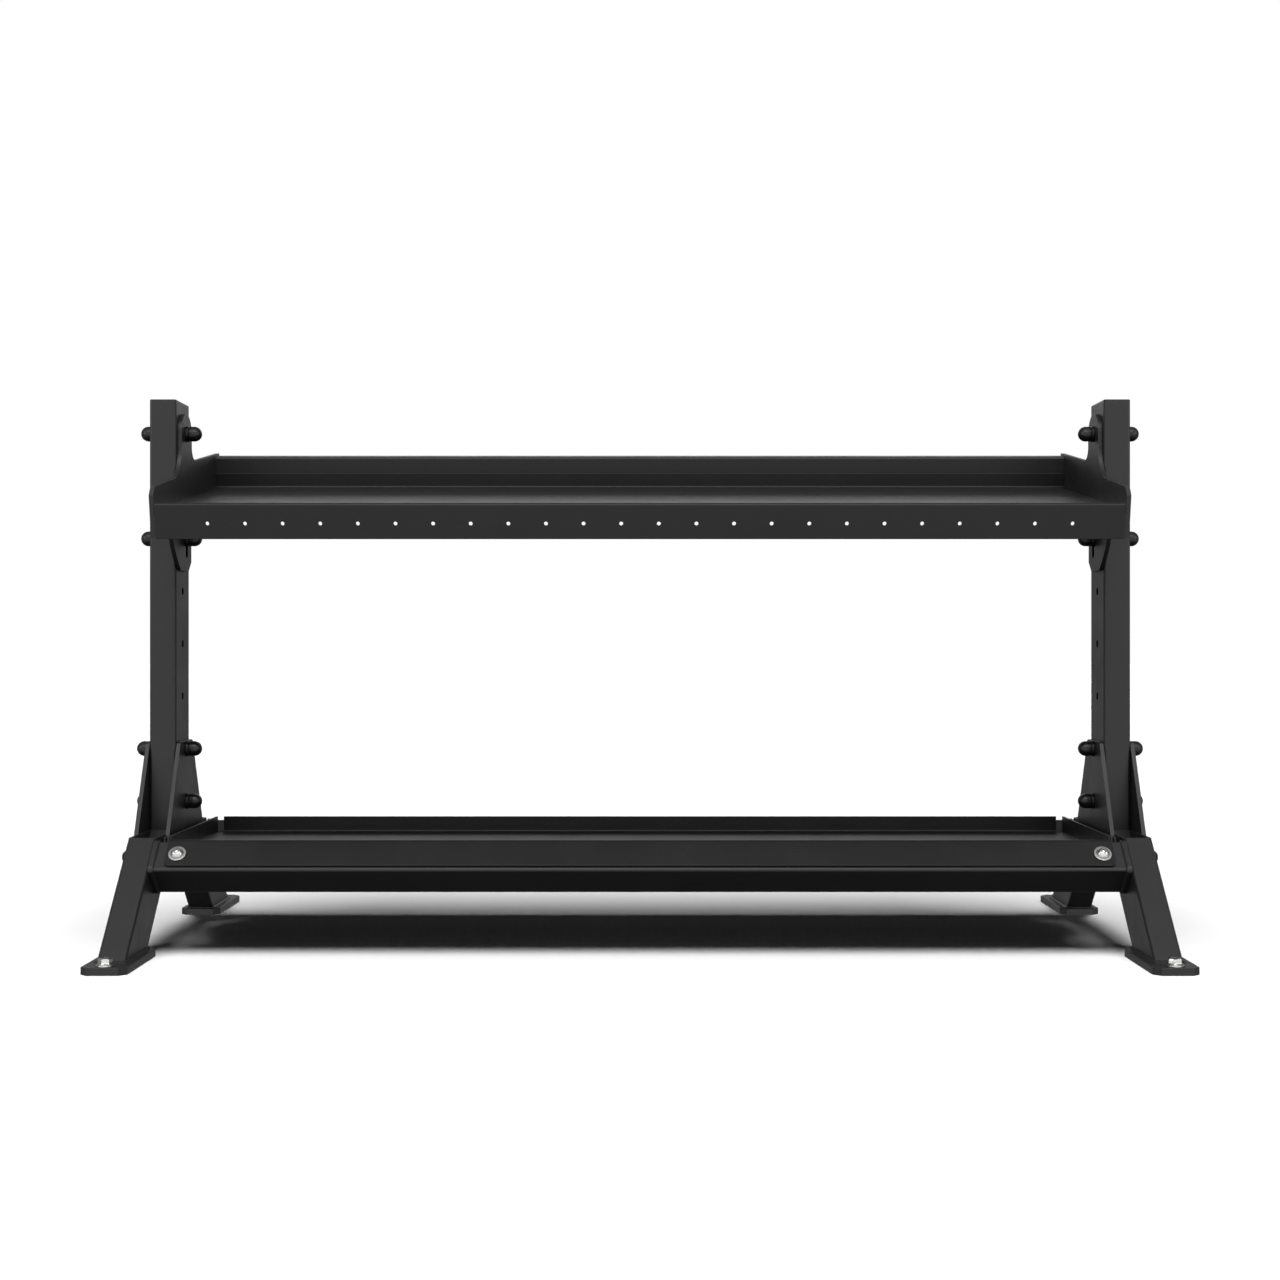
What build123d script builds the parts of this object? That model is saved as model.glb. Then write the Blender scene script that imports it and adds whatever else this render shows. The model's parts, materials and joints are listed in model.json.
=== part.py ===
from build123d import *
import os
from math import cos, radians, sin, sqrt

# Two-tier dumbbell rack. Millimetres, +Z up, the front is -Y, the floor is Z = 0 and X = 0 is the middle.

# Posts
post_inner_x = 665.0        # inner face of each post
post_width = 38.1           # across the rack
post_depth = 76.2           # front to back
post_bottom_z = 118.0
post_top_z = 772.0
tube_wall = 3.0
tube_corner = 4.0           # outside corner radius of every tube
hole_pitch = 76.2           # between the holes up a post
lowest_hole_z = 193.0
hole_count = 8
bolt_hole_r = 5.5           # clears an M10 bolt
cap_top = 2.5               # plastic cap over the top of a post
cap_edge = 1.2              # rounding of its top edge
cap_plug = 16.0             # how far it reaches down inside the tube
cap_plug_wall = 2.0
cap_clearance = 0.15

# Base
leg_line_y = 245.5          # a leg's centre line meets the floor at this distance from the post's middle
leg_top_z = 155.0
foot_thickness = 10.0
foot_width = 60.0
foot_length = 150.0
foot_front_y = 326.5
foot_chamfer = 9.5          # at the plate's four corners
foot_edge = 0.8             # along its top edge
foot_bolt_y = 312.0
gusset_thickness = 6.0
gusset_top_z = 281.0
gusset_top_half = 34.0
gusset_low_z = 153.5
gusset_low_half = 95.5
gusset_side_z = 139.5       # the sides are upright below this height
gusset_side_half = 100.0
gusset_bottom_z = 104.0
gusset_corner = 6.0
plate_edge = 0.5            # rounding along the edges of gussets and beam flanges

# Lower shelf
beam_side = 50.8            # square tube, standing on one corner
beam_y = 150.0
beam_z = 116.0
beam_flange_side = 56.0
beam_flange_corner = 8.0
beam_bolt_offset = 14.0     # above and below the beam's middle
sheet = 3.0                 # steel sheet of both trays
sheet_edge = 0.6            # rounding along the sheet's long edges
bend = 3.0                  # inside bend radius
shelf_half = 647.5          # outer face of the tray's side walls
shelf_floor_z = 134.0
shelf_wall_top_z = 157.6
shelf_back_y = 129.5        # inner face of the back wall
shelf_side_front_y = -138.0
shelf_side_gap = 1.2        # a side wall's lower corner stops this far behind the slope
shelf_hook_half = 645.0
shelf_hook_corner = 8.0
shelf_back_half = 635.5
shelf_hook_end_z = 122.4
shelf_bolt_x = 628.6

# Upper tray, tilted with the back edge high
tray_tilt = 10.0
tray_front = (-185.0, 600.0)   # Y and Z of the line where s = 0 and n = 0
tray_half = 659.0
tray_lip_half = 654.4
tray_depth = 367.0             # along the floor to the back flange
lip_face_s = -3.65
lip_width = 8.0
lip_top_n = 12.3
lip_bottom_n = -36.7
lip_relief_s = 10.3            # the lip's shorter ends reach back this far
back_flange_n = 22.0
label_hole_n = -15.5
label_hole_r = 2.6
label_hole_pitch = 50.8
label_hole_count = 24
back_beam_height = 50.8
back_beam_depth = 25.4
plate_thickness = 6.0
ear_r = 29.0                   # round top of an end plate, about the upper bolt
slot_width = 13.0
slot_low_z = 552.3
slot_high_z = 595.0

# Fasteners
shank_r = 5.0
hex_flats = 17.0
head_height = 6.4
nut_height = 8.4
washer_r = 10.0
washer_height = 2.0
bolt_end = 3.0              # a bolt's end past its nut
cap_rim_r = 11.4            # domed plastic cap over each bolt's head and nut
cap_rim_height = 3.5
cap_step = 0.6
cap_dome_r = 10.8
cap_length = 22.0
cap_cavity_r = 10.05
cap_cavity_length = 11.0
cap_end_r = 6.0
cap_end_length = 15.5
button_r = 8.75
button_edge = 0.8
button_flat_r = 3.6
button_height = 5.5
button_bulge = 0.85         # how far the dome stands out from a straight cone
socket_flats = 6.0
socket_depth = 3.2
wide_washer_r = 12.0
foot_head_flats = 16.0
foot_head_height = 6.8
foot_head_edge = 0.9
foot_flange_r = 10.0
foot_flange_height = 1.6
foot_bolt_gap = 0.5         # between a foot bolt's end and the floor

past = 1.0                  # a cutter passes the face it cuts by this much

post_outer_x = post_inner_x + post_width
post_x = post_inner_x + post_width / 2
post_half_depth = post_depth / 2
plate_inner_x = post_inner_x - plate_thickness
hole_heights = [lowest_hole_z + hole_pitch * k for k in range(hole_count)]
base_bolt_heights = hole_heights[0:2]
tray_bolt_heights = [hole_heights[5], hole_heights[7]]
beam_half = beam_side / 2
sides = {"left": -1, "right": 1}
ends = {"front": -1, "rear": 1}
stand_up = (Align.CENTER, Align.CENTER, Align.MIN)
pieces = {}


def turned(shape, side, end=1):
    """The shape was made at +X and +Y; give its copy at the asked side and end."""
    if side < 0:
        shape = mirror(shape, about=Plane.YZ)
    if end < 0:
        shape = mirror(shape, about=Plane.XZ)
    return shape


def slab(outline, x_start, thickness):
    """A flat plate with an outline in Y and Z, from x_start towards +X."""
    return extrude(Plane.YZ.offset(x_start) * outline, amount=thickness)


def rod(x_start, x_end, y, z, radius):
    """A round bar along X."""
    return slab(Pos(y, z) * Circle(radius), x_start, x_end - x_start)


def block(x_range, y_range, z_range):
    """A box between two values along each axis."""
    size = [high - low for low, high in (x_range, y_range, z_range)]
    return Pos(x_range[0], y_range[0], z_range[0]) * Box(*size, align=(Align.MIN, Align.MIN, Align.MIN))


def tube_section(width, height):
    inside = RectangleRounded(width - 2 * tube_wall, height - 2 * tube_wall, tube_corner - tube_wall)
    return RectangleRounded(width, height, tube_corner) - inside


def hexagon(flats):
    return RegularPolygon(flats / sqrt(3), 6)


def soften(plate, radius):
    """Round the outer edges of a plate's two faces across X."""
    faces = plate.faces().sort_by(Axis.X)
    return fillet(faces[0].outer_wire().edges() + faces[-1].outer_wire().edges(), radius)


def bent_sheet(points, radii):
    """A strip one sheet thick on the left of a bent line, with its two long edges rounded."""
    line = FilletPolyline(*points, radius=radii)
    strip = make_face(offset(line, amount=sheet, side=Side.LEFT, closed=True).edges())
    line_ends = [Vector(*points[0]), Vector(*points[-1])]
    corners = []
    for vertex in strip.vertices():
        reach = min((Vector(*vertex) - end).length for end in line_ends)
        if reach < 1.05 * sheet:
            corners.append(vertex)
    return fillet(corners, sheet_edge)


def make_post():
    height = post_top_z - cap_top - post_bottom_z
    post = extrude(Pos(post_x, 0, post_bottom_z) * tube_section(post_width, post_depth), amount=height)
    for z in hole_heights:
        post -= rod(post_inner_x - past, post_outer_x + past, 0, z, bolt_hole_r)
    return post


def make_post_cap():
    base_z = post_top_z - cap_top
    outline = RectangleRounded(post_width, post_depth, tube_corner)
    head = extrude(Pos(post_x, 0, base_z) * outline, amount=cap_top)
    head = fillet(head.faces().sort_by(Axis.Z)[-1].edges(), cap_edge)
    width = post_width - 2 * (tube_wall + cap_clearance)
    depth = post_depth - 2 * (tube_wall + cap_clearance)
    hollow = Rectangle(width - 2 * cap_plug_wall, depth - 2 * cap_plug_wall)
    plug = RectangleRounded(width, depth, tube_corner - tube_wall) - hollow
    return head + extrude(Pos(post_x, 0, base_z - cap_plug) * plug, amount=cap_plug)


def make_leg():
    """The rear leg: a tube at 45 degrees, cut level at the foot plate and at the top."""
    place = Plane(origin=(post_x, leg_line_y, 0), x_dir=(1, 0, 0), z_dir=(0, -1, 1))
    leg = extrude(place * tube_section(post_width, post_depth), amount=post_depth + 2 * leg_top_z, both=True)
    whole_width = (post_inner_x - past, post_outer_x + past)
    behind_post = (post_half_depth, leg_line_y + post_depth)
    leg &= block(whole_width, behind_post, (foot_thickness, leg_top_z))
    for z in (beam_z - beam_bolt_offset, beam_z + beam_bolt_offset):
        leg -= rod(post_inner_x - past, post_outer_x + past, beam_y, z, bolt_hole_r)
    return leg


def make_foot_plate():
    middle_y = foot_front_y - foot_length / 2
    outline = chamfer(Rectangle(foot_width, foot_length).vertices(), foot_chamfer)
    plate = extrude(Pos(post_x, middle_y, 0) * outline, amount=foot_thickness)
    hole = Cylinder(bolt_hole_r, foot_thickness + 2 * past, align=stand_up)
    plate -= Pos(post_x, foot_bolt_y, -past) * hole
    return chamfer(plate.faces().sort_by(Axis.Z)[-1].outer_wire().edges(), foot_edge)


def make_gusset(x_start):
    half_outline = [
        (gusset_top_half, gusset_top_z),
        (gusset_low_half, gusset_low_z),
        (gusset_side_half, gusset_side_z),
        (gusset_side_half, gusset_bottom_z),
    ]
    mirrored_half = [(-y, z) for y, z in reversed(half_outline)]
    outline = make_face(Polyline(*half_outline, *mirrored_half, close=True))
    outline = fillet(outline.vertices(), gusset_corner)
    plate = soften(slab(outline, x_start, gusset_thickness), plate_edge)
    for z in base_bolt_heights:
        plate -= rod(x_start - past, x_start + gusset_thickness + past, 0, z, bolt_hole_r)
    return plate


def on_corner(section):
    """A section in Y and Z, moved to the rear beam and turned to stand on one corner."""
    return Pos(beam_y, beam_z) * Rot(0, 0, 45) * section


def make_shelf_beam():
    """The rear beam, between its two end flanges."""
    return slab(on_corner(tube_section(beam_side, beam_side)), -plate_inner_x, 2 * plate_inner_x)


def make_beam_flange():
    outline = on_corner(RectangleRounded(beam_flange_side, beam_flange_side, beam_flange_corner))
    plate = soften(slab(outline, plate_inner_x, plate_thickness), plate_edge)
    for z in (beam_z - beam_bolt_offset, beam_z + beam_bolt_offset):
        plate -= rod(plate_inner_x - past, post_inner_x + past, beam_y, z, bolt_hole_r)
    return plate


def shelf_bolt_place(side):
    """A plane on the outer surface of the shelf's front hook, facing forwards and up."""
    out = (beam_half + sheet) / sqrt(2)
    return Plane(origin=(side * shelf_bolt_x, -beam_y - out, beam_z + out), x_dir=(1, 0, 0), z_dir=(0, -1, 1))


def hook_corner_cutter(hook_end_y):
    """What a round corner leaves over, at the +X end of the hook's lower edge."""
    place = Plane(origin=(shelf_hook_half, hook_end_y, shelf_hook_end_z), x_dir=(1, 0, 0), z_dir=(0, -1, 1))
    side = shelf_hook_corner + past
    middle = (past - shelf_hook_corner) / 2
    kept = Pos(-shelf_hook_corner, shelf_hook_corner) * Circle(shelf_hook_corner)
    scrap = Pos(middle, -middle) * Rectangle(side, side) - kept
    return extrude(place * scrap, amount=sheet + past, both=True)


def make_shelf_tray():
    """A pan between the beams, with a front edge that hooks over the front beam."""
    apex = (beam_half + sheet) * sqrt(2)
    slope_foot_y = -beam_y + apex - (shelf_floor_z - beam_z)
    hook_end_y = -beam_y - apex + shelf_hook_end_z - beam_z
    points = [
        (shelf_back_y, shelf_wall_top_z),
        (shelf_back_y, shelf_floor_z),
        (slope_foot_y, shelf_floor_z),
        (-beam_y, beam_z + apex),
        (hook_end_y, shelf_hook_end_z),
    ]
    tray = slab(bent_sheet(points, [bend, bend, tube_corner + sheet]), -shelf_half, 2 * shelf_half)

    floor_bottom = shelf_floor_z - sheet
    above = shelf_wall_top_z + past
    hook = (hook_end_y - sheet - past, slope_foot_y)
    hook_cut = block((shelf_hook_half, shelf_half + past), hook, (0, above))
    notch = (shelf_back_y - bend, shelf_back_y + sheet + past)
    back_cut = block((shelf_back_half, shelf_half + past), notch, (floor_bottom - past, above))
    wall_outline = [
        (shelf_back_y, shelf_wall_top_z),
        (shelf_back_y, shelf_floor_z),
        (shelf_back_y - bend, floor_bottom),
        (slope_foot_y + shelf_side_gap, floor_bottom),
        (shelf_side_front_y, shelf_floor_z + slope_foot_y - shelf_side_front_y),
        (shelf_side_front_y, shelf_wall_top_z),
    ]
    wall = slab(make_face(Polyline(*wall_outline, close=True)), shelf_half - sheet, sheet)
    for side in (-1, 1):
        tray -= turned(hook_cut, side)
        tray -= turned(back_cut, side)
        tray += turned(wall, side)
        outside = shelf_bolt_place(side).offset(-sheet - past)
        tray -= extrude(outside * Circle(bolt_hole_r), amount=sheet + 2 * past)
        tray -= turned(hook_corner_cutter(hook_end_y), side)
    return tray


def tray_point(s, n):
    """Y and Z of a point s along the tilted floor and n above it."""
    tilt = radians(tray_tilt)
    y = tray_front[0] + s * cos(tilt) - n * sin(tilt)
    z = tray_front[1] + s * sin(tilt) + n * cos(tilt)
    return (y, z)


def across_tray(s_range, n_range, x_range):
    """A box set square to the tilted floor, between two values of s, of n and of X."""
    middle = tray_point(sum(s_range) / 2, sum(n_range) / 2)
    face = Pos(*middle) * Rot(0, 0, tray_tilt) * Rectangle(s_range[1] - s_range[0], n_range[1] - n_range[0])
    return slab(face, x_range[0], x_range[1] - x_range[0])


def make_upper_tray():
    """Sheet tray: a back flange, the floor, and a folded front lip that carries the label holes."""
    rise_s = lip_face_s + lip_width
    corners = [
        (tray_depth, back_flange_n),
        (tray_depth, 0),
        (rise_s, 0),
        (rise_s, lip_top_n),
        (lip_face_s, lip_top_n),
        (lip_face_s, lip_bottom_n),
    ]
    fold = lip_width / 2 - 0.05        # the lip's top is almost one half round
    section = bent_sheet([tray_point(*corner) for corner in corners], [bend, bend, fold, fold])
    tray = slab(section, -tray_half, 2 * tray_half)
    lip_depth = (lip_face_s - sheet - past, lip_relief_s)
    lip_height = (lip_bottom_n - past, lip_top_n + sheet + past)
    lip_end = across_tray(lip_depth, lip_height, (tray_lip_half, tray_half + past))
    for side in (-1, 1):
        tray -= turned(lip_end, side)
    face_y, face_z = tray_point(lip_face_s, label_hole_n)
    tilt = radians(tray_tilt)
    for k in range(label_hole_count):
        x = label_hole_pitch * (k - (label_hole_count - 1) / 2)
        place = Plane(origin=(x, face_y, face_z), x_dir=(1, 0, 0), z_dir=(0, -cos(tilt), -sin(tilt)))
        tray -= extrude(place.offset(past) * Circle(label_hole_r), amount=-sheet - 2 * past)
    return tray


def make_tray_beam():
    s_middle = tray_depth + sheet + back_beam_depth / 2
    n_middle = back_beam_height / 2 - sheet
    outline = Pos(*tray_point(s_middle, n_middle)) * Rot(0, 0, tray_tilt) * tube_section(
        back_beam_depth, back_beam_height)
    return slab(outline, -tray_half, 2 * tray_half)


def make_end_plate():
    """Side plate of the upper tray: it carries the tray and bolts to the post."""
    top_z = tray_bolt_heights[1]
    back_s = tray_depth + sheet + back_beam_depth + 4
    front_low = tray_point(10, -36.5)
    front_high = tray_point(9, 21.5)
    front_chamfer = tray_point(19.5, 33.0)
    front_shoulder = tray_point(130, 35.0)
    ear_front_low = (-ear_r, 700.0)
    ear_rear_low = (ear_r, 708.0)
    rear_shoulder = tray_point(247, back_beam_height)
    rear_high = tray_point(back_s, back_beam_height)
    rear_low = tray_point(back_s, -9)
    rear_belly = tray_point(290, -14)
    tongue_rear = (26.0, 566.0)
    tongue_rear_low = (26.0, 541.0)
    tongue_bottom = (10.0, 526.5)
    tongue_front_low = (-32.5, 527.0)
    tongue_front = (-84.0, 581.0)
    outline = [
        Line(front_low, front_high),
        Line(front_high, front_chamfer),
        Line(front_chamfer, front_shoulder),
        ThreePointArc(front_shoulder, (-36.0, 678.0), ear_front_low),
        Line(ear_front_low, (-ear_r, top_z)),
        ThreePointArc((-ear_r, top_z), (0, top_z + ear_r), (ear_r, top_z)),
        Line((ear_r, top_z), ear_rear_low),
        ThreePointArc(ear_rear_low, (34.0, 699.0), rear_shoulder),
        Line(rear_shoulder, rear_high),
        Line(rear_high, rear_low),
        Line(rear_low, rear_belly),
        ThreePointArc(rear_belly, (48.0, 604.0), tongue_rear),
        Line(tongue_rear, tongue_rear_low),
        Line(tongue_rear_low, tongue_bottom),
        Line(tongue_bottom, tongue_front_low),
        ThreePointArc(tongue_front_low, (-61.5, 551.0), tongue_front),
        Line(tongue_front, front_low),
    ]
    plate = slab(make_face(outline), plate_inner_x, plate_thickness)
    plate -= rod(plate_inner_x - past, post_inner_x + past, 0, top_z, bolt_hole_r)
    slot = Pos(0, (slot_low_z + slot_high_z) / 2) * Rot(0, 0, 90) * SlotCenterToCenter(
        slot_high_z - slot_low_z, slot_width)
    return plate - slab(slot, plate_inner_x - past, plate_thickness + 2 * past)


def through_bolt(x_head, x_nut, z):
    """A hex bolt from the inner side: washer, head, shank and nut along X at Y = 0."""
    head_x = x_head - washer_height
    nut_x = x_nut + washer_height
    bolt = slab(Pos(0, z) * hexagon(hex_flats), head_x - head_height, head_height)
    bolt += rod(head_x, nut_x + nut_height + bolt_end, 0, z, shank_r)
    ring = Pos(0, z) * (Circle(washer_r) - Circle(bolt_hole_r))
    washers = [slab(ring, head_x, washer_height), slab(ring, x_nut, washer_height)]
    nut = slab(Pos(0, z) * (hexagon(hex_flats) - Circle(shank_r)), nut_x, nut_height)
    return bolt, washers, nut


def bolt_cap(x_base, direction, z):
    """A domed plastic cap over a bolt's end: a rim, a short wall and a round top, hollow inside."""
    wall_top = cap_length - cap_dome_r
    dome_side = cap_dome_r * sin(radians(45))
    outline = make_face([
        Line((0, 0), (cap_rim_r, 0)),
        Line((cap_rim_r, 0), (cap_rim_r, cap_rim_height)),
        Line((cap_rim_r, cap_rim_height), (cap_dome_r, cap_rim_height + cap_step)),
        Line((cap_dome_r, cap_rim_height + cap_step), (cap_dome_r, wall_top)),
        ThreePointArc((cap_dome_r, wall_top), (dome_side, wall_top + dome_side), (0, cap_length)),
        Line((0, cap_length), (0, 0)),
    ])
    solid = revolve(Plane.XZ * outline, Axis.Z)
    solid -= Pos(0, 0, -past) * Cylinder(cap_cavity_r, cap_cavity_length + past, align=stand_up)
    solid -= Cylinder(cap_end_r, cap_end_length, align=stand_up)
    return Pos(x_base, 0, z) * Rot(0, 90 * direction, 0) * solid


def button_bolt(shank_length):
    """A button-head bolt that stands on Z = 0 with its shank below."""
    edge_top = (button_r, button_edge)
    flat_rim = (button_flat_r, button_height)
    outline = make_face([
        Line((0, 0), (button_r, 0)),
        Line((button_r, 0), edge_top),
        SagittaArc(edge_top, flat_rim, -button_bulge),
        Line(flat_rim, (0, button_height)),
        Line((0, button_height), (0, 0)),
    ])
    head = revolve(Plane.XZ * outline, Axis.Z)
    socket_floor = Pos(0, 0, button_height - socket_depth)
    head -= extrude(socket_floor * hexagon(socket_flats), amount=socket_depth + past)
    return head + Pos(0, 0, -shank_length) * Cylinder(shank_r, shank_length, align=stand_up)


def make_beam_bolt(z):
    """Through the leg from outside, into a nut inside the rear beam."""
    length = post_outer_x - plate_inner_x + nut_height + bolt_end
    place = Plane(origin=(post_outer_x, beam_y, z), x_dir=(0, 1, 0), z_dir=(1, 0, 0))
    nut_face = Pos(beam_y, z) * (hexagon(hex_flats) - Circle(shank_r))
    return place * button_bolt(length), slab(nut_face, plate_inner_x - nut_height, nut_height)


def make_foot_bolt():
    """Hex bolt with a round flange under its head, through a foot plate."""
    base = foot_thickness + washer_height
    bolt = Cylinder(foot_flange_r, foot_flange_height, align=stand_up)
    bolt += extrude(Pos(0, 0, foot_flange_height) * hexagon(foot_head_flats), amount=foot_head_height)
    bolt = chamfer(bolt.faces().sort_by(Axis.Z)[-1].edges(), foot_head_edge)
    shank = base - foot_bolt_gap
    bolt += Pos(0, 0, -shank) * Cylinder(shank_r, shank, align=stand_up)
    ring = Circle(wide_washer_r) - Circle(bolt_hole_r)
    washer = extrude(Pos(0, 0, -washer_height) * ring, amount=washer_height)
    place = Pos(post_x, foot_bolt_y, base)
    return place * bolt, place * washer


def build_frame():
    post = make_post()
    cap = make_post_cap()
    leg = make_leg()
    foot = make_foot_plate()
    gussets = {"inner": make_gusset(plate_inner_x), "outer": make_gusset(post_outer_x)}
    flange = make_beam_flange()
    for side_name, side in sides.items():
        pieces[side_name + "_upright"] = turned(post, side)
        pieces[side_name + "_upright_cap"] = turned(cap, side)
        for place, gusset in gussets.items():
            pieces[side_name + "_" + place + "_gusset"] = turned(gusset, side)
        for end_name, end in ends.items():
            pieces[side_name + "_" + end_name + "_leg"] = turned(leg, side, end)
            pieces[side_name + "_" + end_name + "_foot_plate"] = turned(foot, side, end)
            pieces[side_name + "_" + end_name + "_beam_flange"] = turned(flange, side, end)


def build_shelves():
    beam = make_shelf_beam()
    front_beam = turned(beam, 1, -1)
    for side in (-1, 1):
        inside = shelf_bolt_place(side).offset(-sheet - tube_wall - past)
        front_beam -= extrude(inside * Circle(bolt_hole_r), amount=tube_wall + 2 * past)
    pieces["front_shelf_beam"] = front_beam
    pieces["rear_shelf_beam"] = beam
    pieces["lower_shelf_tray"] = make_shelf_tray()
    pieces["upper_tray"] = make_upper_tray()
    pieces["upper_tray_beam"] = make_tray_beam()
    plate = make_end_plate()
    for side_name, side in sides.items():
        pieces[side_name + "_tray_end_plate"] = turned(plate, side)


def build_post_fasteners():
    rows = {
        "base": (base_bolt_heights, post_outer_x + gusset_thickness),
        "tray": (tray_bolt_heights, post_outer_x),
    }
    for row_name, (heights, outer_x) in rows.items():
        bolts = []
        washers = []
        nuts = []
        for side_name, side in sides.items():
            for z in heights:
                bolt, pair, nut = through_bolt(plate_inner_x, outer_x, z)
                bolts.append(turned(bolt, side))
                washers.extend(turned(washer, side) for washer in pair)
                nuts.append(turned(nut, side))
            outer = [turned(bolt_cap(outer_x, 1, z), side) for z in heights]
            inner = [turned(bolt_cap(plate_inner_x, -1, z), side) for z in heights]
            pieces[side_name + "_" + row_name + "_outer_bolt_caps"] = Compound(outer)
            pieces[side_name + "_" + row_name + "_inner_bolt_caps"] = Compound(inner)
        pieces[row_name + "_bolts"] = Compound(bolts)
        pieces[row_name + "_bolt_washers"] = Compound(washers)
        pieces[row_name + "_bolt_nuts"] = Compound(nuts)


def build_base_fasteners():
    beam_bolts = []
    beam_nuts = []
    foot_bolts = []
    foot_washers = []
    for side in sides.values():
        for end in ends.values():
            for z in (beam_z - beam_bolt_offset, beam_z + beam_bolt_offset):
                bolt, nut = make_beam_bolt(z)
                beam_bolts.append(turned(bolt, side, end))
                beam_nuts.append(turned(nut, side, end))
            bolt, washer = make_foot_bolt()
            foot_bolts.append(turned(bolt, side, end))
            foot_washers.append(turned(washer, side, end))
    pieces["beam_bolts"] = Compound(beam_bolts)
    pieces["beam_bolt_nuts"] = Compound(beam_nuts)
    pieces["foot_bolts"] = Compound(foot_bolts)
    pieces["foot_bolt_washers"] = Compound(foot_washers)


def build_shelf_fasteners():
    bolts = []
    washers = []
    nuts = []
    grip = washer_height + sheet + tube_wall
    for side in sides.values():
        place = shelf_bolt_place(side)
        inside = place.offset(-sheet - tube_wall - nut_height)
        washers.append(extrude(place * (Circle(wide_washer_r) - Circle(bolt_hole_r)), amount=washer_height))
        bolts.append(place.offset(washer_height) * button_bolt(grip + nut_height + bolt_end))
        nuts.append(extrude(inside * (hexagon(hex_flats) - Circle(shank_r)), amount=nut_height))
    pieces["shelf_bolts"] = Compound(bolts)
    pieces["shelf_bolt_washers"] = Compound(washers)
    pieces["shelf_bolt_nuts"] = Compound(nuts)


build_frame()
build_shelves()
build_post_fasteners()
build_base_fasteners()
build_shelf_fasteners()
os.makedirs("parts", exist_ok=True)
for name, piece in pieces.items():
    export_step(piece, "parts/" + name + ".step")
print(len(pieces), "nodes")
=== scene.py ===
import json
import bmesh
import bpy
import numpy as np
from math import cos, pi, radians, sin, sqrt, tan
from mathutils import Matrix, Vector


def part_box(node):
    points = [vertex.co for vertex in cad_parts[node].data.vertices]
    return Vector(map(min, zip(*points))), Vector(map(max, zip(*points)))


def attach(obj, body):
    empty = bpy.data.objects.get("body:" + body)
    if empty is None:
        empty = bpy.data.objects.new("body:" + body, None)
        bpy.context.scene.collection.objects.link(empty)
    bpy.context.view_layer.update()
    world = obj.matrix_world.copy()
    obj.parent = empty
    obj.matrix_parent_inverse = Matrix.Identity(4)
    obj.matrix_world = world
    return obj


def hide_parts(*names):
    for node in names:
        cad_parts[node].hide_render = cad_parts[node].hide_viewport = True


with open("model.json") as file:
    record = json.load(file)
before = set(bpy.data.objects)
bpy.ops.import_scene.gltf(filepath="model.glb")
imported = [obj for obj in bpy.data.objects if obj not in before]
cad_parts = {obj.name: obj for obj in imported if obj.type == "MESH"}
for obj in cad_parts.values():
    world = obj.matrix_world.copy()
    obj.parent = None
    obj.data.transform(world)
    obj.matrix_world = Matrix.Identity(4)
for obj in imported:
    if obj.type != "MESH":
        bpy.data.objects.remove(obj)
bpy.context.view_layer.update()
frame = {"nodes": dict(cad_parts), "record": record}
nodes = frame["nodes"]
print("frame loaded:", len(nodes), "nodes")

mm = 0.001      # every size below is in metres, written as a number of mm


# ---- helpers for nodes and colours

def linear(hexColour):
    # sRGB hex to linear: c / 12.92 below 0.04045, else ((c + 0.055) / 1.055) to the power 2.4
    parts = np.array([int(hexColour[k:k + 2], 16) for k in (1, 3, 5)]) / 255
    values = np.where(parts <= 0.04045, parts / 12.92, ((parts + 0.055) / 1.055) ** 2.4)
    return (float(values[0]), float(values[1]), float(values[2]), 1.0)


def addNode(tree, kind, inputs=None, **settings):
    # one node with its settings; an input is a number, a colour or another node's output
    node = tree.nodes.new(kind)
    for name, value in settings.items():
        setattr(node, name, value)
    for name, value in (inputs or {}).items():
        if isinstance(value, bpy.types.NodeSocket):
            tree.links.new(value, node.inputs[name])
        else:
            node.inputs[name].default_value = value
    return node


def startMaterial(name):
    material = bpy.data.materials.new(name)
    material.use_nodes = True
    material.node_tree.nodes.clear()
    return material, material.node_tree


def perMetre(sizeInMm):
    # a noise texture's scale for a pattern of that size
    return 1000 / sizeInMm


# ---- materials

# Powder coat: dry paint sprayed on steel and melted in an oven. The eye sees a satin black skin with a
# faint orange peel, and a painted highlight lightens its colour along every edge. A band gives the values
# of a noise, or of a leaning normal, between which an effect goes from nothing to all of it.
framePaint = {
    "name": "satinPowderCoat", "colour": "#1b1b1c", "edgeHighlightAndScuffColour": "#484849",
    "cloudColour": "#202021", "specular": 0.33,
    "roughness": 0.40, "roughnessSpread": 0.10, "peelMm": 3.2, "peelDepth": 0.035 * mm,
    "grainMm": 0.9, "grainDepth": 0.010 * mm, "cloudMm": 70, "edgeRadius": 0.7 * mm,
    "scuffMm": 5.0, "scuffLength": 12, "scuffTurn": 0.6, "scuffBand": (0.60, 0.74),
    "scuffPatch": (0.45, 0.62), "scuffAmount": 0.0, "edgeLean": (0.995, 0.80), "cloudBand": (0.3, 0.7),
}
# The trays get the same powder on flat sheet, where weights slide about and polish faint streaks into it.
trayPaint = dict(framePaint, name="sheetPowderCoat", colour="#141415", cloudColour="#181819", specular=0.23,
                 roughness=0.36, scuffAmount=0.35)


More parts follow.
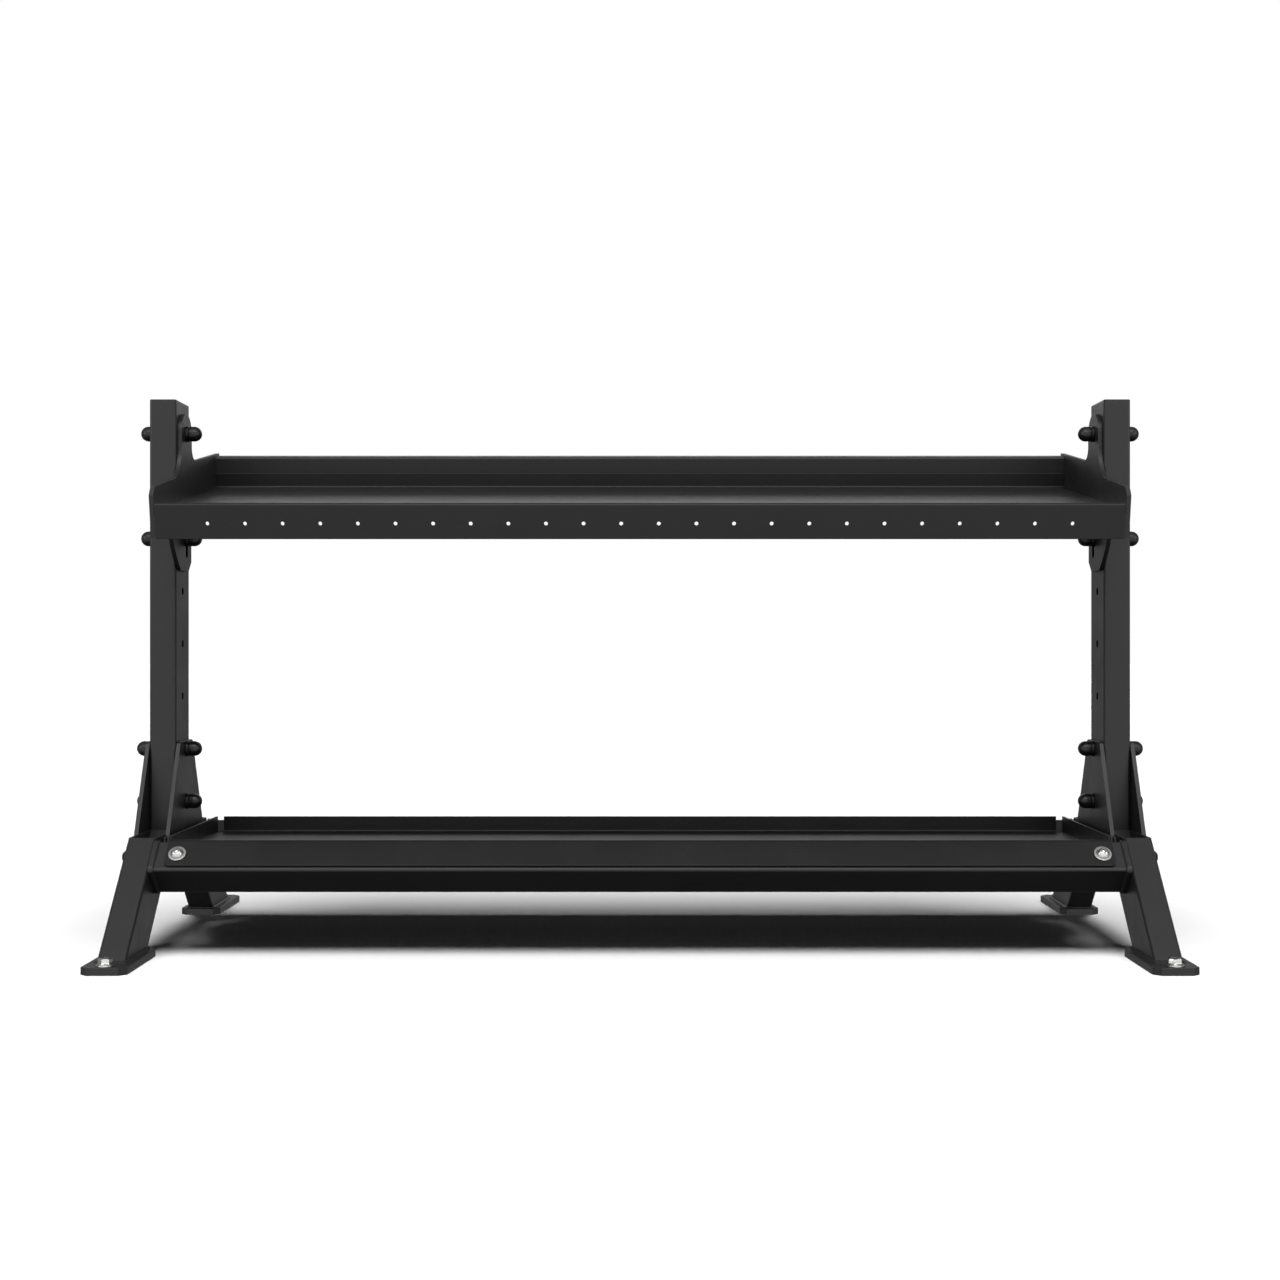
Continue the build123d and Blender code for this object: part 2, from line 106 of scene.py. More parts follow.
def powderCoat(paint):
    material, tree = startMaterial(paint["name"])
    place = addNode(tree, "ShaderNodeTexCoord").outputs["Object"]
    # orange peel: the drawn size is a third coarser than real peel, so that it shows from a few metres
    peel = addNode(tree, "ShaderNodeTexNoise", {
        "Vector": place, "Scale": perMetre(paint["peelMm"]), "Detail": 2.0, "Roughness": 0.4})
    grain = addNode(tree, "ShaderNodeTexNoise", {
        "Vector": place, "Scale": perMetre(paint["grainMm"]), "Detail": 3.0})
    cloud = addNode(tree, "ShaderNodeTexNoise", {
        "Vector": place, "Scale": perMetre(paint["cloudMm"]), "Detail": 5.0, "Roughness": 0.6})
    # scuffs: noise drawn out in one direction, kept where it peaks and where the broad cloud is dense
    along = addNode(tree, "ShaderNodeMapping", {
        "Vector": place, "Scale": (1 / paint["scuffLength"], 1, 1), "Rotation": (0, 0, paint["scuffTurn"])})
    scuff = addNode(tree, "ShaderNodeTexNoise", {
        "Vector": along.outputs[0], "Scale": perMetre(paint["scuffMm"]), "Detail": 4.0, "Roughness": 0.7})
    scuffLine = addNode(tree, "ShaderNodeMapRange", {
        "Value": scuff.outputs[0], "From Min": paint["scuffBand"][0], "From Max": paint["scuffBand"][1],
        "To Min": 0.0, "To Max": paint["scuffAmount"]})
    scuffPatch = addNode(tree, "ShaderNodeMapRange", {
        "Value": cloud.outputs[0], "From Min": paint["scuffPatch"][0], "From Max": paint["scuffPatch"][1]})
    scuffed = addNode(tree, "ShaderNodeMath", {0: scuffLine.outputs[0], 1: scuffPatch.outputs[0]},
                      operation="MULTIPLY")
    # painted highlight on the edges: the more a normal rounded over the edge leans from the face's own, the
    # lighter
    rounded = addNode(tree, "ShaderNodeBevel", {"Radius": paint["edgeRadius"]}, samples=4)
    flat = addNode(tree, "ShaderNodeNewGeometry").outputs["Normal"]
    lean = addNode(tree, "ShaderNodeVectorMath", {0: rounded.outputs[0], 1: flat}, operation="DOT_PRODUCT")
    edge = addNode(tree, "ShaderNodeMapRange", {
        "Value": lean.outputs["Value"], "From Min": paint["edgeLean"][0], "From Max": paint["edgeLean"][1]})
    tone = addNode(tree, "ShaderNodeMix", {
        "Factor": cloud.outputs[0], 6: linear(paint["colour"]), 7: linear(paint["cloudColour"])},
        data_type="RGBA")
    # the edges are painted a lighter colour, a painted highlight; the scuffs below take the same colour as
    # real wear
    edgeHighlighted = addNode(tree, "ShaderNodeMix", {
        "Factor": edge.outputs[0], 6: tone.outputs[2], 7: linear(paint["edgeHighlightAndScuffColour"])}, data_type="RGBA")
    worn = addNode(tree, "ShaderNodeMix", {
        "Factor": scuffed.outputs[0], 6: edgeHighlighted.outputs[2], 7: linear(paint["edgeHighlightAndScuffColour"])}, data_type="RGBA")
    low = paint["roughness"] - paint["roughnessSpread"] / 2
    sheen = addNode(tree, "ShaderNodeMapRange", {
        "Value": cloud.outputs[0], "From Min": paint["cloudBand"][0], "From Max": paint["cloudBand"][1],
        "To Min": low, "To Max": low + paint["roughnessSpread"]})
    polished = addNode(tree, "ShaderNodeMath", {0: sheen.outputs[0], 1: scuffed.outputs[0]},
                       operation="SUBTRACT")
    skin = addNode(tree, "ShaderNodeBump", {
        "Height": peel.outputs[0], "Distance": paint["peelDepth"], "Normal": rounded.outputs[0]})
    fine = addNode(tree, "ShaderNodeBump", {
        "Height": grain.outputs[0], "Distance": paint["grainDepth"], "Normal": skin.outputs[0]})
    surface = addNode(tree, "ShaderNodeBsdfPrincipled", {
        "Base Color": worn.outputs[2], "Roughness": polished.outputs[0], "IOR": 1.5,
        "Specular IOR Level": paint["specular"], "Normal": fine.outputs[0]})
    addNode(tree, "ShaderNodeOutputMaterial", {"Surface": surface.outputs[0]})
    return material


# Moulded black polyethylene caps: soft satin with the mould's spark-eroded grain, and no metal glint.
capPlastic = {
    "colour": "#0f0f0f", "paleColour": "#161616", "roughness": 0.34, "roughnessSpread": 0.16,
    "specular": 0.3, "grainMm": 1.1, "grainDepth": 0.018 * mm, "cloudMm": 14,
}


def mouldedPlastic():
    material, tree = startMaterial("mouldedPolyethylene")
    place = addNode(tree, "ShaderNodeTexCoord").outputs["Object"]
    grain = addNode(tree, "ShaderNodeTexVoronoi", {"Vector": place, "Scale": perMetre(capPlastic["grainMm"])})
    cloud = addNode(tree, "ShaderNodeTexNoise", {
        "Vector": place, "Scale": perMetre(capPlastic["cloudMm"]), "Detail": 3.0})
    tone = addNode(tree, "ShaderNodeMix", {
        "Factor": cloud.outputs[0], 6: linear(capPlastic["colour"]), 7: linear(capPlastic["paleColour"])},
        data_type="RGBA")
    low = capPlastic["roughness"] - capPlastic["roughnessSpread"] / 2
    sheen = addNode(tree, "ShaderNodeMapRange", {
        "Value": cloud.outputs[0], "To Min": low, "To Max": low + capPlastic["roughnessSpread"]})
    bumps = addNode(tree, "ShaderNodeBump", {
        "Height": grain.outputs["Distance"], "Distance": capPlastic["grainDepth"]})
    surface = addNode(tree, "ShaderNodeBsdfPrincipled", {
        "Base Color": tone.outputs[2], "Roughness": sheen.outputs[0], "IOR": 1.5,
        "Specular IOR Level": capPlastic["specular"], "Normal": bumps.outputs[0]})
    addNode(tree, "ShaderNodeOutputMaterial", {"Surface": surface.outputs[0]})
    return material


# Bright zinc plate on cold-formed steel: silver with soft tumbling dents, duller in the hollows.
zincPlate = {
    "name": "brightZincPlate", "colour": "#bfbeba", "dullColour": "#97989a", "roughness": 0.25,
    "roughnessSpread": 0.22, "dentMm": 2.2, "dentDepth": 0.04 * mm, "spotMm": 5.0, "spotBand": (0.3, 0.7),
    "edgeRadius": 0.25 * mm,
}
# Black oxide on steel: a thin dark oiled film, darker than paint but with a metal's glint.
blackOxide = dict(zincPlate, name="blackOxideSteel", colour="#3a3b3e", dullColour="#242426", roughness=0.38,
                  roughnessSpread=0.16, dentMm=1.6, dentDepth=0.02 * mm, spotMm=4.0)


def platedSteel(plate):
    material, tree = startMaterial(plate["name"])
    place = addNode(tree, "ShaderNodeTexCoord").outputs["Object"]
    spots = addNode(tree, "ShaderNodeTexNoise", {
        "Vector": place, "Scale": perMetre(plate["spotMm"]), "Detail": 4.0, "Roughness": 0.6})
    dents = addNode(tree, "ShaderNodeTexNoise", {
        "Vector": place, "Scale": perMetre(plate["dentMm"]), "Detail": 2.0})
    tone = addNode(tree, "ShaderNodeMix", {
        "Factor": spots.outputs[0], 6: linear(plate["colour"]), 7: linear(plate["dullColour"])},
        data_type="RGBA")
    low = plate["roughness"] - plate["roughnessSpread"] / 2
    sheen = addNode(tree, "ShaderNodeMapRange", {
        "Value": spots.outputs[0], "From Min": plate["spotBand"][0], "From Max": plate["spotBand"][1],
        "To Min": low, "To Max": low + plate["roughnessSpread"]})
    rounded = addNode(tree, "ShaderNodeBevel", {"Radius": plate["edgeRadius"]}, samples=4)
    bumps = addNode(tree, "ShaderNodeBump", {
        "Height": dents.outputs[0], "Distance": plate["dentDepth"], "Normal": rounded.outputs[0]})
    surface = addNode(tree, "ShaderNodeBsdfPrincipled", {
        "Base Color": tone.outputs[2], "Metallic": 1.0, "Roughness": sheen.outputs[0],
        "Normal": bumps.outputs[0]})
    addNode(tree, "ShaderNodeOutputMaterial", {"Surface": surface.outputs[0]})
    return material


finishes = {
    "frame_powder_coat": powderCoat(framePaint),
    "tray_powder_coat": powderCoat(trayPaint),
    "moulded_black_plastic": mouldedPlastic(),
    "bright_zinc_steel": platedSteel(zincPlate),
    "black_oxide_steel": platedSteel(blackOxide),
}
slotOf = {row["node"]: row["material_slot"] for row in frame["record"]["subparts"]}
for nodeName, node in nodes.items():
    node.data.materials.clear()
    node.data.materials.append(finishes[slotOf[nodeName]])
print("materials made and given to the CAD nodes")


# ---- making meshes

# corners closer than this are one, edges shorter than this go, and edges flatter than this shade smoothly
closing = {"merge": 0.002 * mm, "shortest": 0.001 * mm, "smoothAngle": radians(40)}


def closeMesh(mesh):
    # corners that share a place become one, the faces left with no area go, and normals turn outwards
    shape = bmesh.new()
    shape.from_mesh(mesh)
    bmesh.ops.remove_doubles(shape, verts=shape.verts, dist=closing["merge"])
    bmesh.ops.dissolve_degenerate(shape, edges=shape.edges, dist=closing["shortest"])
    bmesh.ops.recalc_face_normals(shape, faces=shape.faces)
    for edge in shape.edges:
        edge.smooth = len(edge.link_faces) == 2 and edge.calc_face_angle(0) < closing["smoothAngle"]
    openEdges = sum(len(edge.link_faces) != 2 for edge in shape.edges)
    if openEdges:
        print("open edges in", mesh.name, openEdges)
    shape.to_mesh(mesh)
    shape.free()


def makePiece(name, corners, quads, slot, replaced=()):
    # corners is an N x 3 array in metres, quads an M x 4 array of corner numbers
    mesh = bpy.data.meshes.new(name)
    mesh.vertices.add(len(corners))
    mesh.vertices.foreach_set("co", np.ascontiguousarray(corners, dtype=np.float32).ravel())
    mesh.loops.add(len(quads) * 4)
    mesh.loops.foreach_set("vertex_index", np.ascontiguousarray(quads, dtype=np.int32).ravel())
    mesh.polygons.add(len(quads))
    mesh.polygons.foreach_set("loop_start", np.arange(0, len(quads) * 4, 4, dtype=np.int32))
    mesh.polygons.foreach_set("use_smooth", np.full(len(quads), True))
    mesh.update(calc_edges=True)
    mesh.validate()
    closeMesh(mesh)
    mesh.materials.append(finishes[slot])
    piece = bpy.data.objects.new(name, mesh)
    bpy.context.scene.collection.objects.link(piece)
    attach(piece, "root")
    if replaced:
        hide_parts(*replaced)
    return piece


def gridQuads(rows, columns, start=0):
    # quads of a grid of rows x columns corners whose columns close into a ring
    row = np.arange(rows - 1)[:, None] * columns
    here = np.arange(columns)[None, :]
    beside = (here + 1) % columns
    quads = np.stack([row + here, row + beside, row + columns + beside, row + columns + here], axis=-1)
    return quads.reshape(-1, 4) + start


def joined(grids):
    # several closed-ring grids, each rows x columns x 3, as one set of corners and quads
    corners = []
    quads = []
    start = 0
    for grid in grids:
        rows, columns = grid.shape[:2]
        corners.append(grid.reshape(-1, 3))
        quads.append(gridQuads(rows, columns, start))
        start += rows * columns
    return np.concatenate(corners), np.concatenate(quads)


def placed(local, origin, axis):
    # turn a shape made about Z so that Z lies along axis, and move it to origin
    axis = np.array(axis, dtype=float)
    axis /= np.linalg.norm(axis)
    helper = np.array([0.0, 0.0, 1.0]) if abs(axis[2]) < 0.9 else np.array([0.0, 1.0, 0.0])
    across = np.cross(helper, axis)
    across /= np.linalg.norm(across)
    third = np.cross(axis, across)
    return local[..., 0:1] * across + local[..., 1:2] * third + local[..., 2:3] * axis + np.array(origin)


def turnedRings(radii, heights, steps):
    # corner (k, a) = (radius k times cos a, radius k times sin a, height k); radii may also vary with a
    angle = np.linspace(0, 2 * pi, steps, endpoint=False)
    rows = len(radii)
    radii = np.broadcast_to(np.asarray(radii, dtype=float).reshape(rows, -1), (rows, steps))
    heights = np.broadcast_to(np.asarray(heights, dtype=float).reshape(rows, -1), (rows, steps))
    return np.stack([radii * np.cos(angle), radii * np.sin(angle), heights], axis=-1)


def hexRadius(flats, steps, turn=0.0):
    # distance from the middle to a hexagon's side: half the flats over the cos of the angle from the
    # middle of that side
    angle = np.linspace(0, 2 * pi, steps, endpoint=False) + turn
    return flats / 2 / np.cos((angle + pi / 6) % (pi / 3) - pi / 6)


print("mesh helpers ready")


# ---- fasteners and caps

postCentreX = (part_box("right_upright")[0].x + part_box("right_upright")[1].x) / 2
sides = {"left": -1, "right": 1}
ends = {"front": -1, "rear": 1}

# domed cap: how far out each ring stands and how high, in mm, from the open rim to the middle of the dome
boltCap = {"rimRadius": 11.4, "rimHeight": 3.5, "rimRound": 0.7, "neckRadius": 10.45, "domeRadius": 10.8,
           "length": 22.0, "gateRadius": 1.3, "gateDepth": 0.35, "gateRound": 0.1,
           "gateLift": 0.02, "gateSlope": 0.3,
           "dishRadius": 0.5, "dish": 0.05, "baseInset": 3.0, "stepRound": 0.05, "neckTop": 0.9,
           "wallStart": 1.5, "wallEnd": 2.2, "wallRound": 0.1,
           "domeStop": 0.13, "steps": 96, "domeRings": 28}


def capProfile():
    # rim with two rounded edges, a short step in to the neck, a straight wall, then a quarter circle whose
    # radius is dome cos t and height is wall top plus dome sin t, ending in the dimple of the mould's gate
    c = boltCap
    turn = np.linspace(0, pi / 2, 6)
    inner = c["rimRadius"] - c["rimRound"]
    lowRim = np.stack([inner + c["rimRound"] * np.sin(turn), c["rimRound"] * (1 - np.cos(turn))])
    highRim = np.stack([inner + c["rimRound"] * np.cos(turn),
                        c["rimHeight"] - c["rimRound"] * (1 - np.sin(turn))])
    neckHeights = [c["stepRound"], c["neckTop"], c["wallStart"], c["wallEnd"]]
    neck = np.array([[c["neckRadius"], c["neckRadius"], c["domeRadius"] - c["wallRound"], c["domeRadius"]],
                     [c["rimHeight"] + height for height in neckHeights]])
    wallTop = c["length"] - c["domeRadius"]
    around = np.linspace(0, pi / 2 - c["domeStop"], c["domeRings"])
    dome = np.stack([c["domeRadius"] * np.cos(around), wallTop + c["domeRadius"] * np.sin(around)])
    gateTop = dome[1, -1] + c["gateLift"]
    gateFloor = dome[1, -1] - c["gateDepth"]
    gateMouth = c["gateRadius"] + c["gateRound"]
    gate = np.array([[gateMouth, gateMouth - c["gateSlope"], c["dishRadius"], 0.0],
                     [gateTop, gateFloor, gateFloor - c["dish"], gateFloor - c["dish"]]])
    base = np.array([[0.0, c["rimRadius"] - c["baseInset"]], [0.0, 0.0]])
    return np.concatenate([base, lowRim, highRim, neck, dome, gate], axis=1) * mm


def makeBoltCaps():
    radii, heights = capProfile()
    for sideName, side in sides.items():
        for row in ("base", "tray"):
            for place, outward in (("outer", side), ("inner", -side)):
                node = f"{sideName}_{row}_{place}_bolt_caps"
                low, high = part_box(node)
                seat = low.x if outward > 0 else high.x
                reach = boltCap["rimRadius"] * mm
                grids = [placed(turnedRings(radii, heights, boltCap["steps"]), (seat, 0, z), (outward, 0, 0))
                         for z in (low.z + reach, high.z - reach)]
                corners, quads = joined(grids)
                makePiece(f"{sideName}_{row}_{place}_domed_caps", corners, quads,
                          "moulded_black_plastic", [node])


makeBoltCaps()

# button head with a hexagon socket, in mm; the shares are of the socket's own width
buttonHead = {"radius": 8.75, "edge": 0.8, "edgeRound": 0.15, "height": 5.5, "flatRadius": 3.9, "bulge": 0.9,
              "shankRadius": 5.0, "shankEnd": 0.8, "socketFlats": 6.0, "socketDepth": 3.2,
              "chamferShare": 1.07, "chamferTop": 0.02, "chamferEnd": 0.30, "footShare": 0.97,
              "footDepth": 0.05, "drillRadius": 1.2, "drillDepth": 0.25, "pointDepth": 0.9,
              "steps": 96, "rings": 14}


def buttonBolt(origin, axis, shankLength):
    # from the end of the shank up: shank, underside, edge, a dome that stands bulge above its straight cone,
    # the flat rim, the chamfer of the socket, its six walls and its drilled floor
    b = buttonHead
    steps = b["steps"]
    t = np.linspace(0, 1, b["rings"])
    domeRadius = b["radius"] + (b["flatRadius"] - b["radius"]) * t
    domeHeight = b["edge"] + (b["height"] - b["edge"]) * t + b["bulge"] * 4 * t * (1 - t)
    hexagon = hexRadius(b["socketFlats"], steps)
    bottom = -shankLength / mm
    outside = [(0.0, bottom), (b["shankRadius"] - b["shankEnd"], bottom),
               (b["shankRadius"], bottom + b["shankEnd"]), (b["shankRadius"], 0.0),
               (b["radius"] - b["edgeRound"], 0.0), (b["radius"], b["edgeRound"])]
    radii = [np.full(steps, r) for r, _ in outside] + [np.full(steps, r) for r in domeRadius]
    heights = [h for _, h in outside] + list(domeHeight)
    mouth = b["height"]
    socketFloor = mouth - b["socketDepth"]
    radii += [hexagon * b["chamferShare"], hexagon, hexagon, hexagon * b["footShare"],
              np.full(steps, b["drillRadius"]), np.zeros(steps)]
    heights += [mouth - b["chamferTop"], mouth - b["chamferEnd"], socketFloor]
    heights += [socketFloor - b[depth] for depth in ("footDepth", "drillDepth", "pointDepth")]
    return placed(turnedRings(np.array(radii) * mm, np.array(heights) * mm, steps), origin, axis)


# round washer with edges rounded by tumbling, in mm
wideWasher = {"outer": 12.0, "inner": 5.5, "height": 2.0, "round": 0.45, "steps": 96}


def washerRing(origin, axis):
    # a closed rounded rectangle carried round a circle: the ring's last row meets its first
    w = wideWasher
    turn = np.linspace(0, pi / 2, 5)
    outer, inner = w["outer"] - w["round"], w["inner"] + w["round"]
    low, high = w["round"], w["height"] - w["round"]
    profile = []
    for centreRadius, centreHeight, start in (
            (outer, low, -pi / 2), (outer, high, 0.0), (inner, high, pi / 2), (inner, low, pi)):
        profile.append(np.stack([centreRadius + w["round"] * np.cos(start + turn),
                                 centreHeight + w["round"] * np.sin(start + turn)]))
    radii, heights = np.concatenate(profile, axis=1)
    radii = np.append(radii, radii[0])
    heights = np.append(heights, heights[0])
    return placed(turnedRings(radii * mm, heights * mm, w["steps"]), origin, axis)


# hexagon head on a round flange, in mm; a pair or three are the rings near one edge, from the bottom up
flangeHead = {"flats": 16.0, "hexagonTurn": radians(12), "flangeRadius": 10.0, "flangeEdge": 1.0,
              "flangeRise": 2.3, "undersideRound": 0.3, "rimRound": 0.25, "footOut": (0.55, 0.12),
              "footHigh": (-0.15, 0.25, 0.8), "top": 8.4, "chamferRadius": 7.55, "chamferTurn": radians(30),
              "shoulderDown": (0.25, 0.05), "shoulderIn": 0.12, "topRound": 0.15, "dishRadius": 5.4,
              "dishSlope": 0.4, "dishDepth": 0.35, "shankRadius": 5.0, "steps": 144}


def flangeBolt(origin, axis, shankLength):
    # a hexagon whose corners are cut by a cone, standing on a flange that slopes up to it
    f = flangeHead
    steps = f["steps"]
    hexagon = hexRadius(f["flats"], steps, f["hexagonTurn"])
    coneCut = np.maximum(hexagon - f["chamferRadius"], 0) * tan(f["chamferTurn"])
    one = np.ones(steps)
    bottom = -shankLength / mm
    flange, rise, edge = f["flangeRadius"], f["flangeRise"], f["flangeEdge"]
    shoulder = f["top"] - coneCut
    dish = f["top"] - f["dishDepth"]
    rows = [
        (0 * one, bottom * one), (f["shankRadius"] * one, bottom * one), (f["shankRadius"] * one, 0 * one),
        ((flange - f["undersideRound"]) * one, 0 * one), (flange * one, f["undersideRound"] * one),
        (flange * one, (edge - f["rimRound"]) * one), ((flange - f["rimRound"]) * one, edge * one),
        (hexagon + f["footOut"][0], (rise + f["footHigh"][0]) * one),
        (hexagon + f["footOut"][1], (rise + f["footHigh"][1]) * one),
        (hexagon, (rise + f["footHigh"][2]) * one),
        (hexagon, shoulder - f["shoulderDown"][0]),
        (hexagon - f["shoulderIn"], shoulder - f["shoulderDown"][1]),
        (np.minimum(hexagon, f["chamferRadius"]) - f["topRound"], f["top"] * one),
        (f["dishRadius"] * one, f["top"] * one), ((f["dishRadius"] - f["dishSlope"]) * one, dish * one),
        (0 * one, dish * one)]
    radii = np.array([r for r, _ in rows]) * mm
    heights = np.array([h for _, h in rows]) * mm
    return placed(turnedRings(radii, heights, steps), origin, axis)


def makeFastener(name, node, grids, slot):
    corners, quads = joined(grids)
    makePiece(name, corners, quads, slot, [node])


# how far the beam bolts reach past the inner face of the flange
beamBoltReach = 11.4 * mm


def makeVisibleBolts():
    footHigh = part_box("right_rear_foot_plate")[1]
    boltLow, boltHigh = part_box("foot_bolts")
    headRadius = flangeHead["flangeRadius"] * mm
    footBoltY = boltHigh.y - headRadius
    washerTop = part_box("foot_bolt_washers")[1].z
    footBolts = []
    footWashers = []
    for side in sides.values():
        for end in ends.values():
            spot = (side * postCentreX, end * footBoltY)
            footBolts.append(flangeBolt((*spot, washerTop), (0, 0, 1), washerTop - boltLow.z))
            footWashers.append(washerRing((*spot, footHigh.z), (0, 0, 1)))
    makeFastener("foot_flange_bolts", "foot_bolts", footBolts, "bright_zinc_steel")
    makeFastener("foot_wide_washers", "foot_bolt_washers", footWashers, "bright_zinc_steel")

    # the shelf bolts stand square to the beam's upper front face
    washerLow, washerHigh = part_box("shelf_bolt_washers")
    shelfBoltX = washerHigh.x - wideWasher["outer"] * mm
    slant = wideWasher["outer"] * mm / sqrt(2)
    thick = wideWasher["height"] * mm / sqrt(2)
    out = np.array([0, -1, 1]) / sqrt(2)
    seat = np.array([0, washerHigh.y - slant, washerLow.z + slant])
    shankLength = (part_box("shelf_bolts")[1].y - (seat[1] - thick)) * sqrt(2) - buttonHead["shankRadius"] * mm
    shelfBolts = []
    shelfWashers = []
    for side in sides.values():
        spot = seat + np.array([side * shelfBoltX, 0, 0])
        shelfWashers.append(washerRing(spot, out))
        shelfBolts.append(buttonBolt(spot + out * wideWasher["height"] * mm, out, shankLength))
    makeFastener("shelf_button_bolts", "shelf_bolts", shelfBolts, "bright_zinc_steel")
    makeFastener("shelf_wide_washers", "shelf_bolt_washers", shelfWashers, "bright_zinc_steel")

    # the beam bolts enter each leg from outside and stand out past the flange on its inside
    low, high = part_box("beam_bolts")
    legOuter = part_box("right_rear_leg")[1].x
    boltY = high.y - buttonHead["radius"] * mm
    heights = (low.z + buttonHead["radius"] * mm, high.z - buttonHead["radius"] * mm)
    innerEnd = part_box("right_rear_beam_flange")[0].x - beamBoltReach
    beamBolts = [buttonBolt((side * legOuter, end * boltY, z), (side, 0, 0), legOuter - innerEnd)
                 for side in sides.values() for end in ends.values() for z in heights]
    makeFastener("beam_button_bolts", "beam_bolts", beamBolts, "black_oxide_steel")


makeVisibleBolts()
print("caps, bolts and washers made")


# ---- weld beads

# one pass of weld, in mm: how far it reaches along each of the two faces, and its ripples
weldBead = {"leg": 4.5, "ripplePitch": 2.6, "rippleDepth": 0.28, "wander": 0.35, "sections": 9,
            "wanderPoints": 9, "thinnestEnd": 0.02, "fullness": 0.80, "crown": 0.06, "flatness": 1.3,
            "rootDepth": 0.3, "cornerRound": 4.0, "spacing": 0.5}


def beadAlong(path, firstFace, secondFace, leg, closed=False, seed=0):
    # path runs along the inner corner between two faces; a section starts on one face, bulges out and ends on
    # the other: point = path + leg (cos t first + sin t second), t from 0 to a quarter turn, and leg breathes
    # with a rounded saw-tooth along the length, as each puddle froze on the one before it
    path = np.asarray(path, dtype=float)
    steps = np.linalg.norm(np.diff(path, axis=0), axis=1)
    length = np.concatenate([[0.0], np.cumsum(steps)])
    noise = np.random.default_rng(seed)
    ripple = (length / (weldBead["ripplePitch"] * mm)) % 1.0
    points = weldBead["wanderPoints"]
    slow = np.interp(length, np.linspace(0, length[-1] + 1e-9, points), noise.uniform(-1, 1, points))
    size = leg + weldBead["wander"] * mm * slow + weldBead["rippleDepth"] * mm * (np.sqrt(ripple) - 0.5)
    if not closed:
        # the ends taper over one bead width, with a rounded crater
        fromEnd = np.minimum(length, length[-1] - length) / leg
        size = size * np.sqrt(np.clip(1 - (1 - np.clip(fromEnd, 0, 1)) ** 2, weldBead["thinnestEnd"], 1))
    t = np.linspace(0, pi / 2, weldBead["sections"])
    bulge = weldBead["fullness"] + weldBead["crown"] * np.sin(2 * t)
    first = np.broadcast_to(np.asarray(firstFace, dtype=float), path.shape)
    second = np.broadcast_to(np.asarray(secondFace, dtype=float), path.shape)
    firstShare = (np.cos(t) ** weldBead["flatness"] * bulge)[None, :, None]
    secondShare = (np.sin(t) ** weldBead["flatness"] * bulge)[None, :, None]
    section = firstShare * first[:, None, :] + secondShare * second[:, None, :]
    arc = path[:, None, :] + size[:, None, None] * section
    root = path[:, None, :] - weldBead["rootDepth"] * mm * (first + second)[:, None, :]
    grid = np.concatenate([arc, root], axis=1)
    if not closed:
        # each end closes on one point
        grid[0] = grid[0].mean(axis=0)
        grid[-1] = grid[-1].mean(axis=0)
    return grid


def roundedPath(corners, radius, spacing, closed=True):
    # straight runs joined by arcs: near each corner the path blends along a quadratic curve
    corners = np.asarray(corners, dtype=float)
    count = len(corners)
    points = []
    for k in range(count):
        here = corners[k]
        if not closed and k in (0, count - 1):
            points.append(here[None, :])
            continue
        before = corners[k - 1] - here
        after = corners[(k + 1) % count] - here
        inward = here + before / np.linalg.norm(before) * radius
        outward = here + after / np.linalg.norm(after) * radius
        t = np.linspace(0, 1, 8)[:, None]
        points.append((1 - t) ** 2 * inward + 2 * t * (1 - t) * here + t ** 2 * outward)
    rough = np.concatenate(points)
    if closed:
        rough = np.concatenate([rough, rough[:1]])
    steps = np.linalg.norm(np.diff(rough, axis=0), axis=1)
    length = np.concatenate([[0.0], np.cumsum(steps)])
    even = np.linspace(0, length[-1], max(int(length[-1] / spacing), 8))
    return np.stack([np.interp(even, length, rough[:, k]) for k in range(3)], axis=1)


def outwardOf(path, planeNormal):
    # in the plane of the path, the direction square to it: tangent x plane normal, of unit length
    tangent = np.gradient(path, axis=0)
    tangent /= np.linalg.norm(tangent, axis=1, keepdims=True)
    outward = np.cross(tangent, np.asarray(planeNormal, dtype=float))
    return outward / np.linalg.norm(outward, axis=1, keepdims=True)


def facingOut(grid, middle):
    # flip the columns if the bead's normals look at its own middle line
    a = grid[1, :-1] - grid[0, :-1]
    b = grid[0, 1:] - grid[0, :-1]
    normal = np.cross(b, a)[:weldBead["sections"] - 1]
    away = grid[0, :weldBead["sections"] - 1] - middle
    return grid if (normal * away).sum() > 0 else grid[:, ::-1]


def bead(path, firstFace, secondFace, leg, closed, seed):
    grid = beadAlong(path, firstFace, secondFace, leg, closed, seed)
    return facingOut(grid, path[0])


def footWeld(side, end, seed):
    low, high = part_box("right_rear_leg")
    frontToBack = (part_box("right_upright")[1].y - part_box("right_upright")[0].y) * sqrt(2)
    xInner, xOuter = low.x, high.x
    yRear, yFront = high.y, high.y - frontToBack
    ring = roundedPath([(xInner, yFront, low.z), (xOuter, yFront, low.z), (xOuter, yRear, low.z),
                        (xInner, yRear, low.z)], weldBead["cornerRound"] * mm, weldBead["spacing"] * mm)
    outward = outwardOf(ring, (0, 0, 1))
    upLeg = np.array([0, -1, 1]) / sqrt(2)
    grid = bead(ring, outward, upLeg, weldBead["leg"] * mm, True, seed)
    return mirrored(grid, side, end)


def mirrored(grid, side, end):
    # made at +X and +Y; a single mirror turns the faces inside out, so the columns are run backwards
    grid = grid * np.array([side, end, 1])
    return grid[:, ::-1] if side * end < 0 else grid


# the beams' end welds, in mm: a smaller pass, and how far out the flats of the rounded tube would meet
beamBead = {"leg": 2.4, "cornerOut": 1.6}


